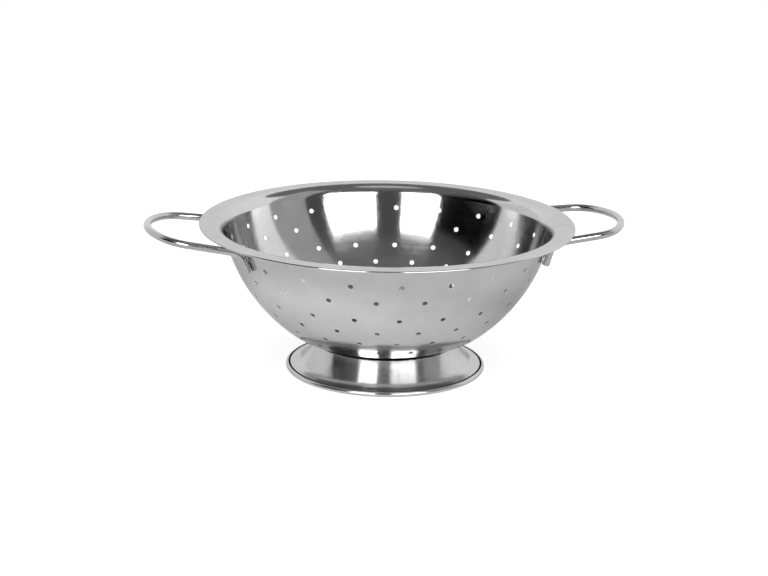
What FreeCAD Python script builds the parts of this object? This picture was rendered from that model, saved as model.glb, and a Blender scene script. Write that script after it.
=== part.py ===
"""Footed colander of polished sheet steel with two welded wire handles.

The origin is on the table under the middle of the bowl, +Z is up and the handles lie along X.
"""
import FreeCAD, Part
import math
import os

import Sketcher
from FreeCAD import Vector

# Driving dimensions in millimetres and degrees.
SIZES = {
    # Bowl
    "rim_radius": 120.0,
    "rim_height": 96.5,
    "flange_reach": 14.5,
    "ball_gap": 6.3,
    "base_height": 19.5,
    "base_bend": 40.0,
    "bowl_sheet": 0.5,
    "flange_bend": 8.5,
    "flange_slope": 2.5,
    "hem_width": 3.5,
    "hem_round": 0.65,
    # Perforation
    "hole_diameter": 3.2,
    "hole_count": 21,
    # Foot
    "foot_radius": 64.5,
    "foot_spread": 20.0,
    "foot_sheet": 0.5,
    "neck_fold": 1.1,
    "neck_lean": 27.0,
    "foot_flare": 60.0,
    "toe_bend": 7.5,
    "brim_slope": 5.0,
    "brim_height": 3.0,
    "collar_width": 10.5,
    "collar_gap": 0.2,
    "lip_roll": 1.6,
    "lip_flat": 0.1,
    "groove_set": 0.55,
    "groove_round": 0.5,
    # Handles
    "wire_diameter": 4.8,
    "wire_end_round": 0.8,
    "handle_reach": 32.5,
    "tip_radius": 48.0,
    "corner_radius": 23.5,
    "corner_angle": 37.0,
    "rim_gap": 0.1,
    "left_tilt": 8.3,
    "right_tilt": 5.0,
    # Wire ends on the bowl's wall
    "tab_angle": 24.4,
    "tab_drop": 11.5,
    "tab_tail": 8.7,
    "tab_bend": 7.5,
    "tab_splay": 12.0,
    # Spot welds
    "weld_gap": 0.2,
    "weld_diameter": 2.4,
    "foot_weld_diameter": 4.0,
    "foot_weld_count": 8,
    # Tools that cut run past the material by this much
    "overrun": 2.0,
}

# Sizes that follow from those above. The bowl's outside is part of a ball, and the ball is bent
# over at the bottom into a flat base.
DERIVED = {
    "ball_depth": "rim_height - ball_gap",
    "mouth_radius": "rim_radius - flange_reach",
    "bowl_radius": "(mouth_radius ^ 2 + ball_depth ^ 2) / (2 * ball_depth)",
    "ball_height": "ball_gap + bowl_radius",
    "bend_height": "base_height + base_bend",
    "base_radius": "sqrt((bowl_radius - base_bend) ^ 2 - (ball_height - bend_height) ^ 2)",
    "neck_radius": "foot_radius - foot_spread",
    "seat_height": "base_height - collar_gap",
    "lip_radius": "foot_radius - lip_roll",
}

# How deep each row of wall holes lies, as a share of the ball's depth.
WALL_ROW_SHARES = (0.170, 0.291, 0.436, 0.548, 0.650, 0.742)

# How far out each row of drain holes lies inside the foot, as a share of the neck's radius,
# and how much of a full row's count it carries.
DRAIN_ROW_SHARES = (0.68, 0.50, 0.34)
DRAIN_COUNT_SHARES = (1, 2 / 3, 1 / 3)

# Where the spot welds lie across the foot's collar, as a share of its width from the neck.
COLLAR_WELD_SHARE = 0.75

X_AXIS = Vector(1, 0, 0)
Y_AXIS = Vector(0, 1, 0)
Z_AXIS = Vector(0, 0, 1)

doc = FreeCAD.newDocument("Colander")
sheet = doc.addObject("Spreadsheet::Sheet", "Sizes")
formulas = {name: f"={formula}" for name, formula in DERIVED.items()}
for row, (name, entry) in enumerate((SIZES | formulas).items(), start=1):
    sheet.set(f"A{row}", name)
    sheet.set(f"B{row}", str(entry))
    sheet.setAlias(f"B{row}", name)
doc.recompute()


def size(name):
    """The value of one cell of the sheet."""
    return float(getattr(sheet, name))


def bind(thing, **formulas):
    """Tie properties of an object to cells, written as formulas of the cells' names."""
    for prop, formula in formulas.items():
        thing.setExpression(prop.replace("__", "."), formula)


def cell(formula):
    """Put the sheet's name before each cell's name in a formula."""
    words = formula.split(" ")
    return " ".join(f"Sizes.{word}" if word in SIZES | DERIVED else word for word in words)


def body_named(label):
    """A new body whose label names its file."""
    body = doc.addObject("PartDesign::Body", label)
    body.Label = label
    return body


def origin_feature(body, role):
    """A plane or an axis of a body's own origin."""
    return next(item for item in body.Origin.OriginFeatures if item.Role == role)


def sketch_on(body, name, role):
    """A new sketch on one of the body's origin planes."""
    sketch = body.newObject("Sketcher::SketchObject", name)
    sketch.AttachmentSupport = (origin_feature(body, role), "")
    sketch.MapMode = "FlatFace"
    return sketch


def dimension(sketch, name, formula, *constraint):
    """Add a named dimension to a sketch and tie it to the sheet."""
    index = sketch.addConstraint(Sketcher.Constraint(*constraint))
    sketch.renameConstraint(index, name)
    sketch.setExpression(f"Constraints.{name}", cell(formula))


def relate(sketch, *constraints):
    """Add relations without a size to a sketch."""
    for constraint in constraints:
        sketch.addConstraint(Sketcher.Constraint(*constraint))


def arc(centre, radius, start, end):
    """An arc in a sketch, anticlockwise between two directions given in radians."""
    circle = Part.Circle(Vector(centre.x, centre.y, 0), Z_AXIS, radius)
    return Part.ArcOfCircle(circle, start, end)


def line(start, end):
    """A straight edge in a sketch."""
    return Part.LineSegment(start, end)


def heading(start, end):
    """The direction from one sketch point to another, in radians."""
    return math.atan2(end.y - start.y, end.x - start.x)


def along(point, angle, distance):
    """The point at a distance from another in a direction of the sketch."""
    return Vector(point.x + distance * math.cos(angle), point.y + distance * math.sin(angle), 0)


# The centre of the bowl's ball, in space and in the upright sketches.
CENTRE = Vector(0, 0, size("ball_height"))
BALL = Vector(0, size("ball_height"), 0)


def bowl_profile(body):
    """The sheet's section from the middle of the floor to the hem of the flange."""
    sketch = sketch_on(body, "bowl_profile", "XZ_Plane")
    gauge = size("bowl_sheet")
    bend = size("flange_bend")
    edge_round = size("hem_round")
    ball = size("bowl_radius")
    fall = -math.radians(size("flange_slope"))
    square = fall + math.pi / 2

    hem = Vector(size("rim_radius") - edge_round, size("rim_height") - edge_round, 0)
    hem_start = along(along(hem, fall, -size("hem_width")), square, edge_round - gauge)
    hem_foot = along(along(hem, fall, -size("hem_width")), square, -edge_round)
    below = along(hem, square, edge_round - gauge - bend)
    reach = (below - BALL).dot(along(Vector(), fall, 1))
    chord = (below - BALL).Length ** 2 - (ball + bend) ** 2
    bend_centre = along(below, fall, math.sqrt(reach ** 2 - chord) - reach)
    wall_top = heading(BALL, bend_centre)
    corner = Vector(size("base_radius"), size("bend_height"), 0)
    corner_bend = size("base_bend")
    wall_foot = heading(BALL, corner)
    down = -math.pi / 2
    base_up = Vector(0, size("base_height"), 0)
    floor_up = Vector(0, base_up.y + gauge, 0)

    outer, under_bend, under, step, hem_under, edge, top, top_bend, inner = range(9)
    corner_in, floor, middle, base, corner_out = range(9, 14)
    sketch.addGeometry([
        arc(BALL, ball, wall_foot, wall_top),
        arc(bend_centre, bend, square, wall_top + math.pi),
        line(along(bend_centre, square, bend), hem_start),
        line(hem_start, hem_foot),
        line(hem_foot, along(hem, square, -edge_round)),
        arc(hem, edge_round, square - math.pi, square),
        line(along(hem, square, edge_round), along(bend_centre, square, bend + gauge)),
        arc(bend_centre, bend + gauge, square, wall_top + math.pi),
        arc(BALL, ball - gauge, wall_foot, wall_top),
        arc(corner, corner_bend - gauge, down, wall_foot),
        line(floor_up, along(corner, down, corner_bend - gauge)),
        line(floor_up, base_up),
        line(base_up, along(corner, down, corner_bend)),
        arc(corner, corner_bend, down, wall_foot),
    ])
    relate(
        sketch,
        ("Tangent", outer, 2, under_bend, 2),
        ("Tangent", under_bend, 1, under, 1),
        ("Coincident", under, 2, step, 1),
        ("Coincident", step, 2, hem_under, 1),
        ("Tangent", hem_under, 2, edge, 1),
        ("Tangent", edge, 2, top, 1),
        ("Tangent", top, 2, top_bend, 1),
        ("Tangent", top_bend, 2, inner, 2),
        ("Tangent", inner, 1, corner_in, 2),
        ("Tangent", corner_in, 1, floor, 2),
        ("Coincident", floor, 1, middle, 1),
        ("Coincident", middle, 2, base, 1),
        ("Tangent", base, 2, corner_out, 1),
        ("Tangent", corner_out, 2, outer, 1),
        ("Coincident", corner_out, 3, corner_in, 3),
        ("Horizontal", floor),
        ("Horizontal", base),
        ("Coincident", under_bend, 3, top_bend, 3),
        ("Coincident", outer, 3, inner, 3),
        ("Parallel", under, top),
        ("Parallel", hem_under, top),
        ("Perpendicular", step, top),
        ("PointOnObject", outer, 3, -2),
        ("PointOnObject", base, 1, -2),
        ("PointOnObject", floor, 1, -2),
    )
    dimension(sketch, "ball_outside", "bowl_radius", "Radius", outer, ball)
    dimension(sketch, "ball_inside", "bowl_radius - bowl_sheet", "Radius", inner, ball - gauge)
    dimension(sketch, "ball_up", "ball_height", "DistanceY", -1, 1, outer, 3, BALL.y)
    dimension(sketch, "base_corner", "base_bend", "Radius", corner_out, corner_bend)
    dimension(sketch, "base_up", "base_height", "DistanceY", -1, 1, base, 1, base_up.y)
    dimension(sketch, "bend", "flange_bend", "Radius", under_bend, bend)
    dimension(sketch, "hem_edge", "hem_round", "Radius", edge, edge_round)
    dimension(sketch, "hem_out", "rim_radius - hem_round", "DistanceX", -1, 1, edge, 3, hem.x)
    dimension(sketch, "hem_up", "rim_height - hem_round", "DistanceY", -1, 1, edge, 3, hem.y)
    dimension(sketch, "hem_run", "hem_width", "Distance", hem_under, size("hem_width"))
    dimension(sketch, "slope", "flange_slope * -1", "Angle", under, fall)
    return sketch


def revolve(body, name, sketch):
    """A full turn of a sketch about its upright axis."""
    turn = body.newObject("PartDesign::Revolution", name)
    turn.Profile = sketch
    turn.ReferenceAxis = (sketch, ["V_Axis"])
    turn.Angle = 360
    return turn


def boolean(kind, label, base, tool):
    """A boolean of two objects."""
    result = doc.addObject(kind, label)
    result.Label = label
    result.Base = base
    result.Tool = tool
    return result


def bar(label, where, direction, diameter, length):
    """A round bar along a direction, centred on a point."""
    solid = doc.addObject("Part::Cylinder", label)
    bind(solid, Radius=cell(f"{diameter} / 2"), Height=cell(length))
    half = solid.evalExpression(cell(length)) / 2
    solid.Placement = FreeCAD.Placement(where - direction * half, FreeCAD.Rotation(Z_AXIS, direction))
    return solid


def compound(name, pieces):
    """Several objects as one."""
    group = doc.addObject("Part::Compound", name)
    group.Links = pieces
    return group


def punch(name, where, ray):
    """A punch through the sheet at a place of its outside, along a ray that points out."""
    tool = doc.addObject("Part::Cylinder", name)
    bind(tool, Radius=cell("hole_diameter / 2"), Height=cell("bowl_sheet + 2 * overrun"))
    start = where + ray * size("overrun")
    tool.Placement = FreeCAD.Placement(start, FreeCAD.Rotation(Z_AXIS, -ray))
    return tool


def turns(count, start=0):
    """Evenly spaced directions round the upright axis, in radians."""
    return [start + 2 * math.pi * number / count for number in range(count)]


def make_bowl():
    """The perforated bowl with its flange."""
    body = body_named("bowl_blank")
    revolve(body, "bowl_sheet_metal", bowl_profile(body))
    count = int(size("hole_count"))
    base_middle = Vector(0, 0, size("base_height"))
    punches = [punch("drain_middle", base_middle, -Z_AXIS)]
    for row, share in enumerate(WALL_ROW_SHARES):
        drop = size("bowl_radius") - size("ball_depth") + share * size("ball_depth")
        lean = math.acos(drop / size("bowl_radius"))
        stagger = math.pi / count * ((row + 1) % 2)
        for turn in turns(count, stagger):
            ray = Vector(math.sin(lean) * math.cos(turn), math.sin(lean) * math.sin(turn), -math.cos(lean))
            punches.append(punch(f"wall_row_{row + 1}", CENTRE + ray * size("bowl_radius"), ray))
    for row, share in enumerate(DRAIN_ROW_SHARES):
        reach = share * size("neck_radius")
        for turn in turns(round(count * DRAIN_COUNT_SHARES[row])):
            out = Vector(reach * math.cos(turn), reach * math.sin(turn), 0)
            punches.append(punch(f"drain_row_{row + 1}", base_middle + out, -Z_AXIS))
    bowl_cut = boolean("Part::Cut", "bowl", body, compound("punches", punches))
    bowl_cut.Refine = False
    doc.recompute()

    taken = (body.Shape.Volume - bowl_cut.Shape.Volume) / len(punches)
    one_hole = math.pi * (size("hole_diameter") / 2) ** 2 * size("bowl_sheet")
    print(f"holes {len(punches)}, metal taken out per hole {taken:.3f} of {one_hole:.3f} mm3")
    return bowl_cut


def toe_lean(flare_centre, brim_end, brim_square):
    """How steep the wall is where its toe begins, so that the brim ends where it should."""
    low, high = math.radians(size("neck_lean")), brim_square
    for halving in range(60):
        lean = (low + high) / 2
        toe = along(flare_centre, lean, size("toe_bend") - size("foot_flare"))
        toe_end = along(toe, brim_square, -size("toe_bend"))
        above = (toe_end - brim_end).dot(along(Vector(), brim_square, 1)) > 0
        low, high = (lean, high) if above else (low, lean)
    return lean


def foot_profile(body):
    """The foot's section: collar, neck fold, hollow wall, toe and the brim that ends in the lip."""
    sketch = sketch_on(body, "foot_profile", "XZ_Plane")
    gauge = size("foot_sheet")
    fold = size("neck_fold")
    flare = size("foot_flare")
    toe = size("toe_bend")
    start = math.radians(size("neck_lean"))
    slope = -math.radians(size("brim_slope"))
    square = slope + math.pi / 2
    up = math.pi / 2

    neck = Vector(size("neck_radius"), size("seat_height") - fold, 0)
    flare_centre = along(neck, start, fold + flare)
    brim_end = Vector(size("lip_radius"), size("brim_height"), 0)
    lean = toe_lean(flare_centre, brim_end, square)
    toe_centre = along(flare_centre, lean, toe - flare)
    back = start + math.pi
    turn = lean + math.pi
    stop = square + math.pi
    seat_end = Vector(neck.x - size("collar_width"), size("seat_height"), 0)
    under_end = along(seat_end, up, -gauge)

    seat, fold_out, wall_out, toe_out, brim_out, brim_cap = range(6)
    brim_in, toe_in, wall_in, fold_in, under, collar_cap, tilt = range(6, 13)
    sketch.addGeometry([
        line(seat_end, along(neck, up, fold)),
        arc(neck, fold, start, up),
        arc(flare_centre, flare, back, turn),
        arc(toe_centre, toe, turn, stop),
        line(along(toe_centre, square, -toe), brim_end),
        line(brim_end, along(brim_end, square, -gauge)),
        line(along(toe_centre, square, -toe - gauge), along(brim_end, square, -gauge)),
        arc(toe_centre, toe + gauge, turn, stop),
        arc(flare_centre, flare + gauge, back, turn),
        arc(neck, fold - gauge, start, up),
        line(under_end, along(neck, up, fold - gauge)),
        line(under_end, seat_end),
    ])
    sketch.addGeometry(line(neck, flare_centre), True)
    relate(
        sketch,
        ("Tangent", seat, 2, fold_out, 2),
        ("Tangent", fold_out, 1, wall_out, 1),
        ("Tangent", wall_out, 2, toe_out, 1),
        ("Tangent", toe_out, 2, brim_out, 1),
        ("Coincident", brim_out, 2, brim_cap, 1),
        ("Coincident", brim_cap, 2, brim_in, 2),
        ("Tangent", brim_in, 1, toe_in, 2),
        ("Tangent", toe_in, 1, wall_in, 2),
        ("Tangent", wall_in, 1, fold_in, 1),
        ("Tangent", fold_in, 2, under, 2),
        ("Coincident", under, 1, collar_cap, 1),
        ("Coincident", collar_cap, 2, seat, 1),
        ("Coincident", fold_out, 3, fold_in, 3),
        ("Coincident", wall_out, 3, wall_in, 3),
        ("Coincident", toe_out, 3, toe_in, 3),
        ("Coincident", tilt, 1, fold_out, 3),
        ("Coincident", tilt, 2, wall_out, 3),
        ("Perpendicular", brim_out, brim_cap),
        ("Parallel", brim_out, brim_in),
        ("Horizontal", seat),
        ("Horizontal", under),
        ("Vertical", collar_cap),
    )
    dimension(sketch, "fold", "neck_fold", "Radius", fold_out, fold)
    dimension(sketch, "fold_inside", "neck_fold - foot_sheet", "Radius", fold_in, fold - gauge)
    dimension(sketch, "flare", "foot_flare", "Radius", wall_out, flare)
    dimension(sketch, "toe", "toe_bend", "Radius", toe_out, toe)
    dimension(sketch, "wall_start", "neck_lean", "Angle", tilt, start)
    dimension(sketch, "slope", "brim_slope * -1", "Angle", brim_out, slope)
    dimension(sketch, "seat_up", "seat_height", "DistanceY", -1, 1, seat, 1, seat_end.y)
    dimension(sketch, "neck_out", "neck_radius", "DistanceX", -1, 1, fold_out, 3, neck.x)
    dimension(sketch, "collar", "collar_width", "DistanceX", seat, 1, fold_out, 3, size("collar_width"))
    dimension(sketch, "brim_out", "lip_radius", "DistanceX", -1, 1, brim_out, 2, brim_end.x)
    dimension(sketch, "brim_up", "brim_height", "DistanceY", -1, 1, brim_out, 2, brim_end.y)
    return sketch


def make_foot():
    """The flared foot with its rolled lip, the groove beside it and the flat that it stands on."""
    body = body_named("foot_ring")
    revolve(body, "foot_sheet_metal", foot_profile(body))
    roll = body.newObject("PartDesign::AdditiveTorus", "lip")
    bind(
        roll,
        Radius1=cell("lip_radius"),
        Radius2=cell("lip_roll"),
        Placement__Base__z=cell("lip_roll - lip_flat"),
    )
    groove = body.newObject("PartDesign::SubtractiveTorus", "lip_groove")
    bind(
        groove,
        Radius1=cell("lip_radius - groove_set"),
        Radius2=cell("groove_round"),
        Placement__Base__z=cell("brim_height + groove_set * tan( brim_slope )"),
    )
    doc.recompute()
    grooved = body.Shape.Volume
    table = body.newObject("PartDesign::SubtractiveCylinder", "table_cut")
    bind(
        table,
        Radius=cell("foot_radius + overrun"),
        Height=cell("overrun"),
        Placement__Base__z=cell("overrun * -1"),
    )
    body.Tip = table
    doc.recompute()
    print(f"flat to stand on takes {grooved - body.Shape.Volume:.2f} mm3 off the lip")
    return body


def ball(label, radius):
    """A ball about the centre of the bowl's sphere."""
    solid = doc.addObject("Part::Sphere", label)
    bind(solid, Radius=cell(radius), Placement__Base__z=cell("ball_height"))
    return solid


def make_foot_welds():
    """Spot welds between the foot's collar and the bowl's flat base."""
    reach = size("neck_radius") - size("collar_width") * COLLAR_WELD_SHARE
    height = size("seat_height") + size("collar_gap") / 2
    count = int(size("foot_weld_count"))
    pads = []
    for turn in turns(count, math.pi / count):
        where = Vector(reach * math.cos(turn), reach * math.sin(turn), height)
        pads.append(bar("foot_spot", where, Z_AXIS, "foot_weld_diameter", "collar_gap"))
    pad_ring = compound("foot_welds", pads)
    pad_ring.Label = "foot_welds"
    return pad_ring


def tangent_point(point, centre, radius):
    """Where a line from a point touches a circle, on the left of the way to its centre."""
    gap = point.distanceToPoint(centre)
    swing = math.acos(radius / gap)
    return along(centre, heading(centre, point) - swing, radius)


def mirror(point):
    """The same point on the other side of the handle's middle."""
    return Vector(point.x, -point.y, point.z)


def handle_path(tilt):
    """Points of one handle's wire, for a handle on +X, and where its ends meet the wall.

    The loop lies in a plane that rises outward from under the rim. Each end leaves that plane in
    a bend and runs down the wall.
    """
    wire = size("wire_diameter") / 2
    reach = size("bowl_radius") + size("weld_gap") + wire
    tab_angle = math.radians(size("tab_angle"))
    lean = math.acos((CENTRE.z - size("rim_height") + size("tab_drop")) / reach)
    ray = Vector(math.sin(lean) * math.cos(tab_angle), math.sin(lean) * math.sin(tab_angle),
                 -math.cos(lean))
    uphill = Vector(math.cos(lean) * math.cos(tab_angle), math.cos(lean) * math.sin(tab_angle),
                    math.sin(lean))
    around = Vector(-math.sin(tab_angle), math.cos(tab_angle), 0)
    splay = math.radians(size("tab_splay"))
    rise = uphill * math.cos(splay) - around * math.sin(splay)
    weld = CENTRE + ray * reach
    end = weld - rise * size("tab_tail")

    hem = 2 * size("hem_round")
    pivot = Vector(size("rim_radius"), 0, size("rim_height") - hem - size("rim_gap") - wire)
    outward = Vector(math.cos(tilt), 0, math.sin(tilt))
    square = Vector(-math.sin(tilt), 0, math.cos(tilt))
    knee = weld + rise * ((pivot - weld).dot(square) / rise.dot(square))

    def in_plane(point):
        return Vector((point - pivot).dot(outward), point.y, 0)

    def in_space(point):
        return pivot + outward * point.x + Y_AXIS * point.y

    tip = Vector(size("handle_reach") / math.cos(tilt), 0, 0)
    tip_centre = tip - X_AXIS * size("tip_radius")
    turn = math.radians(size("corner_angle"))
    corner_centre = along(tip_centre, turn, size("tip_radius") - size("corner_radius"))
    corner_start = tangent_point(in_plane(knee), corner_centre, size("corner_radius"))
    corner_end = along(tip_centre, turn, size("tip_radius"))
    middle = (heading(corner_centre, corner_start) + turn) / 2
    corner_middle = along(corner_centre, middle, size("corner_radius"))

    leg = (in_space(corner_start) - knee).normalize()
    half = math.acos(max(-1, min(1, leg.dot(-rise)))) / 2
    set_back = size("tab_bend") / math.tan(half)
    bend_low = knee - rise * set_back
    bend_high = knee + leg * set_back
    inward = (leg - rise).normalize()
    bend_middle = knee + inward * (size("tab_bend") / math.sin(half) - size("tab_bend"))

    side = [end, bend_low, bend_middle, bend_high, in_space(corner_start), in_space(corner_middle),
            in_space(corner_end)]
    return side, in_space(tip), weld, ray, rise


def wire_edges(side, tip):
    """The edges of a handle's path from end to end."""
    end, bend_low, bend_middle, bend_high, corner_start, corner_middle, corner_end = side
    first = [
        Part.LineSegment(end, bend_low).toShape(),
        Part.Arc(bend_low, bend_middle, bend_high).toShape(),
        Part.LineSegment(bend_high, corner_start).toShape(),
        Part.Arc(corner_start, corner_middle, corner_end).toShape(),
    ]
    end, bend_low, bend_middle, bend_high, corner_start, corner_middle, corner_end = map(mirror, side)
    last = [
        Part.Arc(corner_end, corner_middle, corner_start).toShape(),
        Part.LineSegment(corner_start, bend_high).toShape(),
        Part.Arc(bend_high, bend_middle, bend_low).toShape(),
        Part.LineSegment(bend_low, end).toShape(),
    ]
    top = Part.Arc(side[-1], tip, mirror(side[-1])).toShape()
    return first + [top] + last


def make_handle(label, turn, tilt, bowl_ball):
    """One handle's wire and its two welds, turned about the bowl's axis."""
    side, tip, weld, ray, rise = handle_path(math.radians(size(tilt)))
    place = FreeCAD.Placement(Vector(), FreeCAD.Rotation(Z_AXIS, turn))
    spine = doc.addObject("Part::Feature", f"{label}_path")
    spine.Shape = Part.Wire(wire_edges(side, tip))
    spine.Placement = place

    section = doc.addObject("Part::Circle", f"{label}_section")
    bind(section, Radius=cell("wire_diameter / 2"))
    section.Placement = place.multiply(
        FreeCAD.Placement(side[0], FreeCAD.Rotation(Z_AXIS, rise)))

    rod = doc.addObject("Part::Sweep", f"{label}_rod")
    rod.Sections = [section]
    rod.Spine = (spine, [f"Edge{number + 1}" for number in range(len(spine.Shape.Edges))])
    rod.Solid = True
    rod.Frenet = False
    doc.recompute()
    length = spine.Shape.Length
    share = rod.Shape.Volume / (length * math.pi * (size("wire_diameter") / 2) ** 2)
    print(f"{label}: wire {length:.1f} mm long, volume {share:.4f} of section times length")

    ends = [place.multVec(side[0]), place.multVec(mirror(side[0]))]
    wire = size("wire_diameter") / 2
    rims = [number + 1 for number, edge in enumerate(rod.Shape.Edges)
            if edge.isClosed() and any(edge.CenterOfMass.distanceToPoint(end) < wire for end in ends)]
    handle = doc.addObject("Part::Fillet", label)
    handle.Label = label
    handle.Base = rod
    handle.Edges = [(number, size("wire_end_round"), size("wire_end_round")) for number in rims]

    pads = []
    tabs = []
    for number, flip in enumerate((lambda point: point, mirror), start=1):
        wall = place.multVec(flip(weld - ray * (wire + size("weld_gap"))))
        pads.append(bar(f"{label}_spot_{number}", wall, place.multVec(flip(ray)), "weld_diameter",
                        "wire_diameter + weld_gap"))
        tabs.append(bar(f"{label}_tab_{number}", place.multVec(flip(weld)), place.multVec(flip(rise)),
                        "wire_diameter", "2 * tab_tail"))
    spots = compound(f"{label}_spots", pads)
    seats = boolean("Part::Cut", f"{label}_spots_at_wire", spots, compound(f"{label}_tabs", tabs))
    return handle, boolean("Part::Cut", f"{label}_welds", seats, bowl_ball)


bowl = make_bowl()
foot = make_foot()
foot_welds = make_foot_welds()
wall_ball = ball("bowl_ball_at_handles", "bowl_radius")
right_handle, right_welds = make_handle("right_handle", 0, "right_tilt", wall_ball)
left_handle, left_welds = make_handle("left_handle", 180, "left_tilt", wall_ball)
doc.recompute()

for item in doc.Objects:
    if "Invalid" in item.State or "Error" in item.State:
        raise RuntimeError(f"{item.Label} failed: {item.State}")

os.makedirs("parts", exist_ok=True)
for piece in (bowl, foot, foot_welds, right_handle, right_welds, left_handle, left_welds):
    if piece.Shape.isNull() or not piece.Shape.isValid():
        raise RuntimeError(f"{piece.Label} has no valid shape")
    piece.Shape.exportStep(os.path.join("parts", f"{piece.Label}.step"))
    box = piece.Shape.BoundBox
    print(f"{piece.Label}: {len(piece.Shape.Solids)} solids, {piece.Shape.Volume:.1f} mm3,"
          f" z {box.ZMin:.2f} to {box.ZMax:.2f}, x {box.XMin:.2f} to {box.XMax:.2f}")
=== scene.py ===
import math
from types import SimpleNamespace

import bmesh
import bpy
from mathutils import Matrix, Vector
from mathutils.kdtree import KDTree


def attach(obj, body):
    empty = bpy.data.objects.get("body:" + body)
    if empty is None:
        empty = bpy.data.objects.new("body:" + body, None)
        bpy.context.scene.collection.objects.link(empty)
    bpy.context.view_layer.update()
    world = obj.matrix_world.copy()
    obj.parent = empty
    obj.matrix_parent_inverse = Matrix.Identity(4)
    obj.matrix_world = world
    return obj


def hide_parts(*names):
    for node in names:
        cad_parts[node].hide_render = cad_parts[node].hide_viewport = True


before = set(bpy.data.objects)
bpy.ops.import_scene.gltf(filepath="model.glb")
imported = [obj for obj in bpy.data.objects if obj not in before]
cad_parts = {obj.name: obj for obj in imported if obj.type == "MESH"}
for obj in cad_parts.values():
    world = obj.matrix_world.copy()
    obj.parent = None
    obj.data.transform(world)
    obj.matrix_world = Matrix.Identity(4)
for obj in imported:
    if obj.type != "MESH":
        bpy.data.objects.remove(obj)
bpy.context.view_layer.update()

# Sizes in metres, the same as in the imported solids.

# Bowl, flange and hem.
RIM_RADIUS = 0.120
RIM_HEIGHT = 0.0965
FLANGE_REACH = 0.0145
BALL_GAP = 0.0063
BASE_HEIGHT = 0.0195
BASE_BEND = 0.040
SHEET = 0.0005
FLANGE_BEND = 0.0085
FLANGE_SLOPE = math.radians(2.5)
HEM_WIDTH = 0.0035
HEM_ROUND = 0.00065

# Holes. A wall row lies at a share of the ball's depth, the lowest row first. A drain row lies at a
# share of the neck's radius and has its own count.
HOLE_RADIUS = 0.0016
HOLE_ROUNDING = 0.00012
HOLES_ROUND = 21
WALL_ROW_DEPTHS = (0.742, 0.650, 0.548, 0.436, 0.291, 0.170)
DRAIN_ROWS = ((0.34, 7), (0.50, 14), (0.68, 21))

# Foot.
FOOT_RADIUS = 0.0645
FOOT_SPREAD = 0.0200
NECK_FOLD = 0.0011
NECK_LEAN = math.radians(27)
FOOT_FLARE = 0.060
TOE_BEND = 0.0075
BRIM_LEAN = math.radians(85)
BRIM_HEIGHT = 0.0030
COLLAR_WIDTH = 0.0105
COLLAR_GAP = 0.0002
LIP_ROLL = 0.0016
LIP_FLAT = 0.0001
GROOVE_SET = 0.00055
GROOVE_ROUND = 0.0005

# Handles and their weld beads.
WIRE_RADIUS = 0.0024
WIRE_END_ROUND = 0.0008
HANDLE_REACH = 0.0325
TIP_RADIUS = 0.048
CORNER_RADIUS = 0.0235
CORNER_ANGLE = math.radians(37)
RIM_CLEARANCE = 0.0001
TAB_ANGLE = math.radians(24.4)
TAB_DROP = 0.0115
TAB_TAIL = 0.0087
TAB_BEND = 0.0075
TAB_SPLAY = math.radians(12)
TILTS = {"left_handle": math.radians(8.3), "right_handle": math.radians(5.0)}
WELD_GAP = 0.0002
BEAD_HALF = (0.0030, 0.0017, 0.0008)
BEAD_SINK = 0.3
BEAD_RIPPLE = 0.06
BEAD_RIPPLES = 9

# Sizes that follow from those above.
BALL_DEPTH = RIM_HEIGHT - BALL_GAP
MOUTH_RADIUS = RIM_RADIUS - FLANGE_REACH
BALL_RADIUS = (MOUTH_RADIUS ** 2 + BALL_DEPTH ** 2) / (2 * BALL_DEPTH)
BALL = Vector((0, 0, BALL_GAP + BALL_RADIUS))
BEND_HEIGHT = BASE_HEIGHT + BASE_BEND
BASE_RADIUS = math.sqrt((BALL_RADIUS - BASE_BEND) ** 2 - (BALL.z - BEND_HEIGHT) ** 2)
BASE_LEAN = math.asin(BASE_RADIUS / (BALL_RADIUS - BASE_BEND))
NECK_RADIUS = FOOT_RADIUS - FOOT_SPREAD

# How finely the meshes are divided.
WALL_COLUMNS = 84
FLOOR_COLUMNS = 42
FOOT_COLUMNS = 144
BAND_STEPS = 3
HOLE_STEPS = 4
HOLE_ROUNDING_STEPS = 2
BASE_BEND_STEPS = 10
FLANGE_BEND_STEPS = 10
HEM_STEPS = 8
NECK_STEPS = 8
NECK_INSIDE_STEPS = 6
FLARE_STEPS = 24
TOE_STEPS = 16
GROOVE_STEPS = 10
LIP_STEPS = 18
LIP_INSIDE_STEPS = 10
WIRE_SIDES = 24
WIRE_END_STEPS = 4
TIP_STEPS = 18
CORNER_STEPS = 18
KNEE_STEPS = 12
BEAD_SEGMENTS = 32
BEAD_RINGS = 16
CARD_STEPS = 12
CARD_LEAST_STEPS = 4
FLOOR_SIDES = 96

# How near counts as the same, where a hole's first corner is looked for, and which edges are sharp.
MERGE_GAP = SHEET / 50
WIRE_MERGE_GAP = WIRE_RADIUS / 100
FACE_SLACK = SHEET / 100
LEAN_SLACK = 1e-6
TOP_SLACK = 1e-5
HOLE_SEARCH = 1.5 * HOLE_RADIUS
FIRST_CORNER = 0.1
JOINT_SHARE = 0.25
HALVINGS = 50
ROUND_PROFILE = 0.5
BOWL_SHARP = math.radians(50)
FOOT_SHARP = math.radians(40)
HOLE_SHARP = math.radians(60)

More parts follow.
